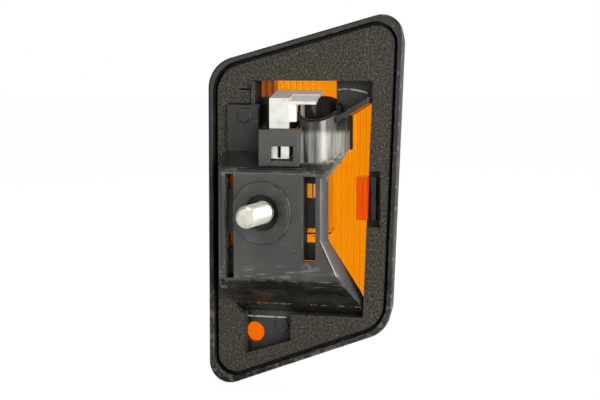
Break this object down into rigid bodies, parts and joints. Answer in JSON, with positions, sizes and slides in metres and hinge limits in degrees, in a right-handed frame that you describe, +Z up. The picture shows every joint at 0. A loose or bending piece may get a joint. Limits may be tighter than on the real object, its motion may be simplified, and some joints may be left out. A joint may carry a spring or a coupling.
{
  "type": "vehicle indicator lamp",
  "caption": "Four-sided amber turn indicator lamp: black housing with a foam gasket, a rear fixing stud, a connector shroud, a bulb socket and a fluted lens.",
  "frame": {"origin": "on the stud's axis, on the face of the boss that meets the vehicle's bracket", "axes": "+Z up, +Y out of the vehicle towards the lens, +X to the right when the lamp is seen from behind"},
  "size_m": [0.0553, 0.035, 0.1021],
  "materials": {
    "housing": "moulded black, satin to gloss, with worn grey edges",
    "lens": "clear amber, smooth outside and fluted inside",
    "gasket": "dark open-cell foam",
    "stud": "bright zinc plate",
    "contact": "bright tinned strip",
    "cap": "nickel-plated",
    "bulb_glass": "clear",
    "wire": "drawn",
    "insulator": "black, fused",
    "solder": "dull solder"
  },
  "bodies": {
    "root": {"housing": "housing", "lens": "lens", "gasket": "gasket", "fixing_stud": "stud", "live_contact": "contact", "earth_contact": "contact", "bulb_cap": "cap", "bulb_glass": "bulb_glass", "bulb_stem": "bulb_glass", "bulb_leads": "wire", "bulb_filament": "wire", "bulb_insulator": "insulator", "bulb_tip": "solder"}
  },
  "joints": []
}
